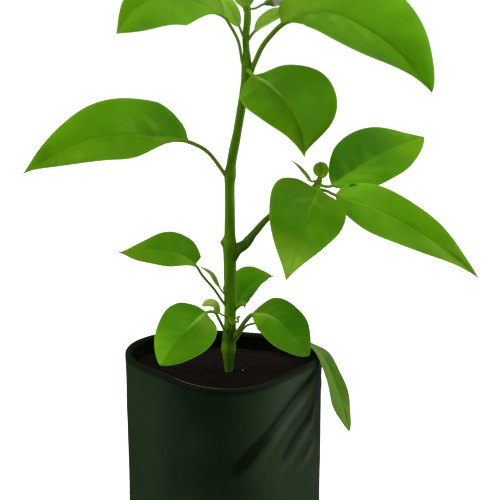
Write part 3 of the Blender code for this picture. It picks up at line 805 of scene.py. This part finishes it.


# Each leaf's colour pairs hold its green with painted light and shade on its halves and ends.
grow_leaf(
    "leaf_left_long", green=dict(
        base=((0.09, 0.22, 0.004), (0.05, 0.185, 0.001)),
        middle=((0.07, 0.19, 0.001), (0.08, 0.25, 0.001)),
        tip=((0.08, 0.19, 0.001), (0.09, 0.25, 0.001)), sheen_streak=0.35),
    height=213, stalk=((-8, -2, 227),),
    blade=((-19, -8, 234), (-31, -14, 237), (-60, -26, 240), (-79, -34, 236),
           (-105, -42, 222.4)),
    left=(28, 2.1, 1.85), right=(23.2, 0.42, 1), fold=18,
    face=((0, -0.65, 0.75), (-0.2, -0.6, 0.75)), lobe=0.5, stalk_radius=1.1)
grow_leaf(
    "leaf_right_mid", green=dict(
        base=((0.078, 0.235, 0.002), (0.08, 0.23, 0.003)),
        middle=((0.064, 0.21, 0.001), (0.074, 0.23, 0.001)),
        tip=((0.085, 0.235, 0.001), (0.125, 0.3, 0.001)), vein=(0.26, 0.47, 0.05), sheen_streak=0.3,
        rib=0.8),
    height=272,
    blade=((17, -4, 270), (22, -8, 268), (28, -13, 264), (35, -20, 257), (41, -27, 247),
           (44, -30, 238), (44.8, -32, 228.8)),
    left=(28, 1.25, 0.82, 0.16), right=(20.3, 0.45, 1.2),
    face=((-0.1, -0.8, 0.6), (-0.3, -0.9, 0.2)), stalk_radius=1.1)
grow_leaf(
    "leaf_top_left", green=dict(
        base=((0.11, 0.27, 0.01), (0.2, 0.4, 0.03)),
        middle=((0.076, 0.205, 0.006), (0.1, 0.26, 0.006)),
        tip=((0.08, 0.24, 0.001), (0.105, 0.275, 0.001))),
    height=276, stalk=((9, 2, 288), (4, -2, 298)),
    blade=((1, -5, 302), (-9, -11, 308), (-26, -19, 314), (-43, -26, 309), (-55, -30, 295)),
    left=(33.2, 1.85, 1.02), right=(17, 0.6, 1.05), fold=17,
    face=((0, -0.75, 0.65), (-0.5, -0.7, 0.5)), stalk_radius=0.85)
grow_leaf(
    "leaf_top_right", green=dict(
        base=((0.195, 0.41, 0.015), (0.09, 0.23, 0.006)),
        middle=((0.125, 0.345, 0.006), (0.064, 0.18, 0.004)),
        tip=((0.085, 0.27, 0.001), (0.045, 0.145, 0.001)), sheen_streak=0.4),
    height=271, stalk=((21.5, 2, 284), (27, 1, 291.5)),
    blade=((33, -1.5, 297.5), (41, -5, 302), (49, -9, 304), (61, -14, 304), (77, -20, 297),
           (95, -26, 284), (112, -30, 264)),
    left=(28.5, 0.35, 0.72), right=(29.2, 1.65, 1.7), fold=24,
    face=((0, -0.75, 0.65), (0.4, -0.7, 0.6)), stalk_radius=1.4)


# --- Branch leaves --------------------------------------------------------------------
# The branch's crown: one leaf hangs in front of it, a long one reaches to the right, one
# stands behind, and two are still unrolling at its tip.

# These colour pairs also hold painted light and shade as well as each leaf's green.
grow_leaf(
    "branch_leaf_front", green=dict(
        base=((0.063, 0.18, 0.001), (0.053, 0.155, 0.001)),
        middle=((0.073, 0.225, 0.002), (0.055, 0.19, 0.001)),
        tip=((0.27, 0.5, 0.03), (0.24, 0.46, 0.025))),
    stem=side_branch, height=207,
    blade=((54, -4, 206), (50, -15, 200), (46, -22, 191), (42, -27, 182),
           (34.8, -33.4, 160.4)),
    left=(20.2, 0.62, 1.42), right=(24.8, 0.58, 1.35), fold=8,
    face=((0.3, -0.6, 0.7), (0.1, -1, 0.1)), lobe=2, stalk_radius=0.9)
grow_leaf(
    "branch_leaf_long", green=dict(
        base=((0.14, 0.37, 0.01), (0.068, 0.22, 0.002)),
        middle=((0.09, 0.265, 0.002), (0.08, 0.22, 0.003)),
        tip=((0.1, 0.25, 0.005), (0.12, 0.25, 0.01)), rib=0.4),
    stem=side_branch, height=206, stalk=((59, 0.5, 204.3),),
    blade=((63.5, -2, 202.6), (85, -8, 196), (103, -14, 188), (121, -20, 177),
           (142, -24, 160)),
    left=(14, 0.39, 0.9), right=(17.8, 0.85, 1.65), fold=12,
    face=((0, -0.7, 0.7), (0.2, -0.8, 0.6)), stalk_radius=0.9)
grow_leaf(
    "branch_leaf_upper", green=dict(
        base=((0.03, 0.125, 0.001), (0.094, 0.29, 0.004)),
        middle=((0.036, 0.14, 0.001), (0.047, 0.175, 0.001)),
        tip=((0.093, 0.265, 0.003), (0.11, 0.255, 0.003)), rib=0.4),
    stem=side_branch, height=208, stalk=((58, 6, 206),),
    blade=((62, 8, 206), (70, 14, 210), (78, 20, 214), (87, 26, 219), (98, 34, 223),
           (118, 44, 228.2)),
    left=(19.7, 0.8, 1.22), right=(19.6, 0.72, 0.8), fold=12,
    face=((-0.2, -0.8, 0.5), (0, -0.8, 0.6)), stalk_radius=0.9)
young_green = leaf_finish(
    "young_green", base=((0.17, 0.3, 0.03), (0.17, 0.3, 0.03)),
    middle=((0.16, 0.28, 0.03), (0.16, 0.28, 0.03)),
    tip=((0.17, 0.3, 0.04), (0.17, 0.3, 0.04)))
grow_leaf(
    "branch_leaf_thin", young_green, "young_leaf", mesh=(32, 60), stem=side_branch,
    height=209, blade=((50, 6, 209), (46, 9, 213), (42, 12, 217), (38, 15, 220)),
    left=(1.3, 0.5, 1.5), right=(1.6, 0.6, 1.2), fold=30,
    face=((0, -0.5, 0.8), (0, -0.5, 0.8)), stalk_radius=0.6, ripple=0.1)
grow_leaf(
    "branch_leaf_curled", green=dict(
        base=((0.33, 0.53, 0.02), (0.23, 0.42, 0.01)),
        middle=((0.22, 0.41, 0.006), (0.14, 0.28, 0.003)),
        tip=((0.18, 0.33, 0.008), (0.15, 0.3, 0.01))),
    slot="young_leaf", mesh=(40, 70), stem=side_branch, height=210.5,
    blade=((55, -1.6, 212.6), (55.2, -2.2, 215.8), (55.1, -3, 219), (54.6, -3.8, 222)),
    left=(4.7, 0.45, 0.35), face=((-0.3, -0.9, 0.2), (-0.1, -0.95, -0.2)), stalk_radius=0.6,
    ripple=0.1)


# --- Low leaves -----------------------------------------------------------------------
# The oldest leaves, small and round, grow from the lowest joints and lean out over the
# pot. One hangs over the lip, and short new shoots stand where they meet the stem.

# The paler right half of these colours is painted light.
pale_green = leaf_finish(
    "pale_leaf_green", base=((0.3, 0.52, 0.04), (0.45, 0.68, 0.08)),
    middle=((0.25, 0.5, 0.03), (0.45, 0.62, 0.1)),
    tip=((0.25, 0.48, 0.04), (0.4, 0.58, 0.09)))
grow_leaf(
    "leaf_low_left", green=dict(
        base=((0.145, 0.3, 0.015), (0.058, 0.21, 0.001)),
        middle=((0.065, 0.2, 0.001), (0.057, 0.205, 0.001)),
        tip=((0.1, 0.215, 0.003), (0.13, 0.275, 0.003))),
    height=137, stalk=((-5, 0, 147), (-11.3, -6, 156.6)),
    blade=((-15.3, -10, 164), (-22, -13, 170), (-32, -16, 174), (-43, -18, 175),
           (-58, -20, 174)),
    left=(14.6, 1.5, 1.34), right=(13.6, 0.7, 1.7), fold=12,
    face=((0, -0.55, 0.8), (0, -0.55, 0.8)), lobe=5)
grow_leaf(
    "leaf_low_narrow", pale_green, "young_leaf", mesh=(32, 60), height=143,
    blade=((-1.8, -0.4, 148), (-3.6, -1.6, 152.2), (-7.6, -3.2, 157.6), (-13.6, -5.6, 162.2)),
    left=(1.8, 0.8, 1), fold=35, face=((-0.5, -0.6, 0.5), (0, -0.6, 0.8)), stalk_radius=0.6,
    ripple=0.1)
grow_leaf(
    "leaf_low_round", green=dict(
        base=((0.12, 0.27, 0.01), (0.06, 0.22, 0.001)),
        middle=((0.047, 0.17, 0.001), (0.069, 0.235, 0.001)),
        tip=((0.073, 0.225, 0.002), (0.135, 0.375, 0.008)), vein=(0.3, 0.5, 0.09), rib=0.7),
    height=120, stalk=((-2.2, -5, 130.5), (-4.6, -9, 136)),
    blade=((-9.5, -13.5, 137), (-18, -27, 132.8), (-27, -37, 125.2), (-33.8, -44, 116.3)),
    left=(16.3, 0.61, 0.75), right=(16.4, 0.4, 0.72), fold=8,
    face=((0, -0.75, 0.65), (-0.2, -1, 0.1)), stalk_radius=0.9)
grow_leaf(
    "leaf_low_pale", pale_green, "young_leaf", mesh=(40, 70), height=130,
    blade=((-2, -2.5, 133.6), (-5, -5, 138.6), (-8, -8, 140.6), (-12, -12, 140.6)),
    left=(3.4, 0.8, 0.8), face=((-0.3, -0.7, 0.5), (0, -0.7, 0.7)), stalk_radius=0.6,
    ripple=0.1)
grow_leaf(
    "leaf_low_behind", green=dict(
        base=((0.07, 0.26, 0.001), (0.042, 0.17, 0.001)),
        middle=((0.06, 0.24, 0.001), (0.057, 0.195, 0.001)),
        tip=((0.078, 0.2, 0.001), (0.078, 0.2, 0.001))),
    height=123, stalk=((6, 11, 129),),
    blade=((8, 13, 133.3), (12, 18, 140.6), (18, 25, 144.8), (24, 32, 145.8),
           (29.7, 37, 144.3)),
    left=(12.5, 0.72, 1), right=(8.3, 0.5, 1), face=((-0.3, -0.8, 0.5), (-0.3, -0.6, 0.7)))
grow_leaf(
    "leaf_low_right", green=dict(
        base=((0.075, 0.19, 0.001), (0.125, 0.3, 0.006)),
        middle=((0.028, 0.13, 0.001), (0.046, 0.163, 0.001)),
        tip=((0.04, 0.135, 0.001), (0.035, 0.12, 0.001)), vein=(0.26, 0.46, 0.08), rib=0.6),
    height=119, stalk=((13, -2, 129),),
    blade=((17, -7, 134), (26, -14, 135.4), (34, -22, 132), (42, -30, 124.8),
           (47.8, -34, 118.3)),
    left=(14.4, 0.55, 0.75), right=(15.8, 0.85, 0.62), fold=8,
    face=((0.1, -0.7, 0.7), (0.6, -0.7, 0.3)), stalk_radius=1.3)
grow_leaf(
    "leaf_hanging", green=dict(
        base=((0.1, 0.17, 0.04), (0.12, 0.2, 0.05)),
        middle=((0.055, 0.14, 0.003), (0.075, 0.17, 0.015)),
        tip=((0.11, 0.19, 0.02), (0.095, 0.17, 0.015))),
    height=115, stalk=((15, 7, 124), (32, 5, 123)),
    blade=((48, 3, 114), (54, 1, 110), (59, 0, 104), (64, -1, 93), (69, -2, 78),
           (73.5, -3, 61.5)),
    left=(8, 0.7, 0.66), right=(10.8, 1.45, 1), fold=8,
    face=((0.5, -0.4, 0.8), (0.75, -0.6, 0.3)), stalk_radius=0.7)
grow_leaf(
    "sprout_front", pale_green, "young_leaf", mesh=(32, 50), height=123,
    blade=((5.3, -2.2, 127), (4.2, -3.4, 130), (1.8, -4.4, 133.4)), left=(1.8, 0.6, 1.2),
    face=((0, 0.5, 0.9), (0, 0.3, 0.9)), stalk_radius=0.5, ripple=0.05)
grow_leaf(
    "sprout_right", pale_green, "young_leaf", mesh=(32, 50), height=127,
    blade=((8.3, -1.4, 128), (9, -2.4, 130.6), (10.3, -3, 132.4)), left=(1.7, 0.8, 1),
    face=((-0.6, -0.6, 0.5), (-0.6, -0.6, 0.5)), stalk_radius=0.6, ripple=0.05)
grow_leaf(
    "sprout_curled", young_green, "young_leaf", mesh=(32, 60), height=133,
    blade=((9, 2, 136), (10, 1, 138), (11.9, 0, 138.2), (12, -1.5, 136)), left=(1.8, 0.8, 1),
    fold=30, face=((-0.6, -0.3, 0.7), (0.7, -0.6, 0.4)), stalk_radius=0.6, ripple=0.05)


# --- Tip leaves -----------------------------------------------------------------------
# The newest leaves stand close round the growing tip, soft, light green and still folded.
# Each has a short stalk of its own, and the joints that carry them are close together.

tip_green = leaf_finish(
    "tip_leaf_green", base=((0.3, 0.54, 0.04), (0.28, 0.53, 0.04)),
    middle=((0.28, 0.52, 0.04), (0.26, 0.51, 0.04)),
    tip=((0.29, 0.54, 0.05), (0.3, 0.54, 0.05)))
grow_leaf(
    "tip_leaf_left", tip_green, "young_leaf", mesh=(40, 70), height=291,
    blade=((9.4, 3, 296.2), (5.6, 5, 303), (1, 8, 310), (-4, 11, 316)), left=(5, 0.7, 1),
    right=(4.5, 0.7, 1), fold=15, face=((-0.2, -0.7, 0.6), (0, -0.7, 0.7)), stalk_radius=0.7,
    ripple=0.2)
grow_leaf(
    "tip_leaf_right", tip_green, "young_leaf", mesh=(48, 80), height=289,
    blade=((18, 2, 293.5), (24, 3.5, 297.5), (30, 5, 300.8), (38, 7, 304.5)),
    left=(6, 0.75, 0.75), right=(2.4, 0.8, 0.9), face=((-0.2, -0.7, 0.6), (0, -0.7, 0.7)),
    ripple=0.2)
grow_leaf(
    "tip_leaf_front", tip_green, "young_leaf", mesh=(48, 80), height=303,
    blade=((14, 0, 307), (13, -4, 313), (12, -9, 318), (11, -15, 320)), left=(6, 0.82, 1),
    fold=15, face=((0, 0, 1), (0, 0, 1)), ripple=0.2)
grow_leaf(
    "tip_leaf_back_left", tip_green, "young_leaf", mesh=(48, 80), height=301,
    blade=((12, 10, 306), (9, 16, 314), (4, 21, 322), (-4, 26, 327)), left=(7, 0.82, 1),
    fold=15, face=((0, -0.5, 0.8), (0, -0.3, 0.9)), ripple=0.3)
grow_leaf(
    "tip_leaf_back", tip_green, "young_leaf", mesh=(48, 80), height=306,
    blade=((15, 8, 309), (18, 12, 318), (20, 16, 327), (22, 20, 334)), left=(6.5, 0.82, 1),
    face=((0, -0.7, 0.6), (0, -0.6, 0.8)), ripple=0.2)
grow_leaf(
    "tip_leaf_top", tip_green, "young_leaf", mesh=(40, 70), height=309,
    blade=((12, 2, 312), (9, 0, 318), (7, -2, 325), (7, -3, 331)), left=(4.5, 0.82, 1),
    fold=30, face=((0.7, -0.3, 0.5), (0.7, -0.3, 0.5)), stalk_radius=0.7, ripple=0.1)


# --- Flower bud -----------------------------------------------------------------------
# One closed bud on a thin stalk beside the growing tip: a green cup below, and creamy
# petals with a pink tinge folded over each other above it.

# The height of its joint, how far its stalk stands straight out there, the points that it
# then runs through, and its radius at each share of the way.
BUD_HEIGHT = 305.0
BUD_LEAD = 0.8
BUD_POINTS = ((18.7, 6, 305.8), (22.5, 8, 307.6), (28, 9.5, 309.2), (35, 10, 309.8))
BUD_RADII = ((0, 0.6), (0.4, 0.7), (0.5, 1.7), (0.68, 3.1), (0.85, 2.6), (1, 0.5))

centre, out, skin = main_stem.seat(BUD_HEIGHT, BUD_POINTS[1])
start = centre + out * (skin + 0.3)
bud_route = Route([start, start + out * BUD_LEAD, *BUD_POINTS])


def bud_place(turn, run):
    """A point of the bud: round on its stalk, with five folded petals on its head."""
    angle = 2 * pi * turn
    share = -0.06 + 1.06 * run
    centre = bud_route.at(share)
    if share < 0:
        centre = centre + out * (share * bud_route.length)
    ahead = out if share <= 0 else bud_route.direction(share)
    side = ahead.cross(Vector((0, 0, 1))).normalized()
    up = side.cross(ahead)
    reach = step_value(BUD_RADII, max(share, 0.0))
    head = smooth_step((share - 0.62) / 0.12)
    reach *= 1 - 0.09 * head * (1 - abs(sin(2.5 * angle + 5 * share)) ** 0.5)
    reach *= round_end(run)
    position = centre + side * (reach * cos(angle)) + up * (reach * sin(angle))
    return position, (share, 0.0, 0.0), (0.0, 0.0, 0.0)


bud_finish, tree, shader = new_finish(
    "bud_petals", Roughness=0.5, Specular_IOR_Level=0.2, Subsurface_Weight=0.3,
    Subsurface_Scale=0.001, Subsurface_Radius=(1.0, 0.7, 0.5))
share = skin_values(tree, "skin_grain")[0]
wisps = speckle(tree, 600.0, detail=3.0)
color = tint(ease(wisps, 0.35, 0.7), (0.62, 0.56, 0.43), (0.5, 0.38, 0.3))
color = tint(ease(share, 0.68, 0.6), color, (0.1, 0.23, 0.02))
feed(shader, "Base Color", color)
bump(shader, wisps, 0.2, 0.0002)
bud = rolled_skin("flower_bud_head", 60, 90, bud_place)
set_in(bud, "flower_bud", bud_finish)


# --- Bench, light and camera ----------------------------------------------------------
# The pot stands on a wide white bench in even studio light. Two large soft lamps stand at
# its right and left, one hangs over it, and a small low one lights its right edge. Far from
# the pot the bench sweeps up all round, so that no edge of it is seen.

# In metres: half the bench's width, where it starts to sweep up, and how fast it does.
BENCH_HALF = 14.0
BENCH_FLAT = 9.0
BENCH_SWEEP = 0.2

floor_shape = bmesh.new()
bmesh.ops.create_grid(floor_shape, x_segments=40, y_segments=40, size=BENCH_HALF)
for point in floor_shape.verts:
    past = max(abs(point.co.x), abs(point.co.y)) - BENCH_FLAT
    point.co.z = BENCH_SWEEP * max(past, 0.0) ** 2
floor = piece_from("bench_top", floor_shape)
floor_finish, tree, shader = new_finish(
    "bench_white", Roughness=0.9, Specular_IOR_Level=0.0, Emission_Color=(1, 1, 1, 1),
    Emission_Strength=0.7)
fibres = speckle(tree, 3.0)
feed(shader, "Base Color", tint(fibres, (0.93, 0.93, 0.93), (0.95, 0.95, 0.95)))
floor.data.materials.append(floor_finish)
floor.visible_glossy = False
floor.visible_diffuse = False

scene = bpy.context.scene

# Each lamp: its place, the height that it is turned to over the pot's middle, the side of
# its square and its power.
for name, place, aim, size, power in (
        ("key_lamp", (1.1, -0.25, 1.0), 0.15, 0.8, 16.0),
        ("left_lamp", (-1.2, -0.25, 0.6), 0.15, 0.8, 12.0),
        ("top_lamp", (0.0, 0.2, 1.5), 0.2, 1.2, 8.0),
        ("rim_lamp", (0.9, 0.35, 0.12), 0.08, 0.5, 3.0)):
    light = bpy.data.lights.new(name, "AREA")
    light.shape = "SQUARE"
    light.size = size
    light.energy = power
    lamp = bpy.data.objects.new(name, light)
    lamp.location = place
    way = Vector((0.0, 0.0, aim)) - Vector(place)
    lamp.rotation_euler = way.to_track_quat("-Z", "Y").to_euler()
    scene.collection.objects.link(lamp)

studio = bpy.data.worlds.new("studio_white")
studio.use_nodes = True
sky = studio.node_tree.nodes["Background"].inputs
sky["Color"].default_value = (1.0, 1.0, 1.0, 1.0)
sky["Strength"].default_value = 0.42
studio.cycles_visibility.glossy = False
scene.world = studio
scene.view_settings.view_transform = "Standard"

CAMERA_PLACE = (0.0154, -0.7663, 0.3614)
CAMERA_TILT = radians(76.0)
camera = bpy.data.objects.new("camera", bpy.data.cameras.new("camera"))
camera.data.lens = 100.0
camera.data.sensor_width = 36.0
camera.data.clip_end = 60.0
camera.location = CAMERA_PLACE
camera.rotation_euler = (CAMERA_TILT, 0.0, 0.0)
scene.collection.objects.link(camera)
scene.camera = camera
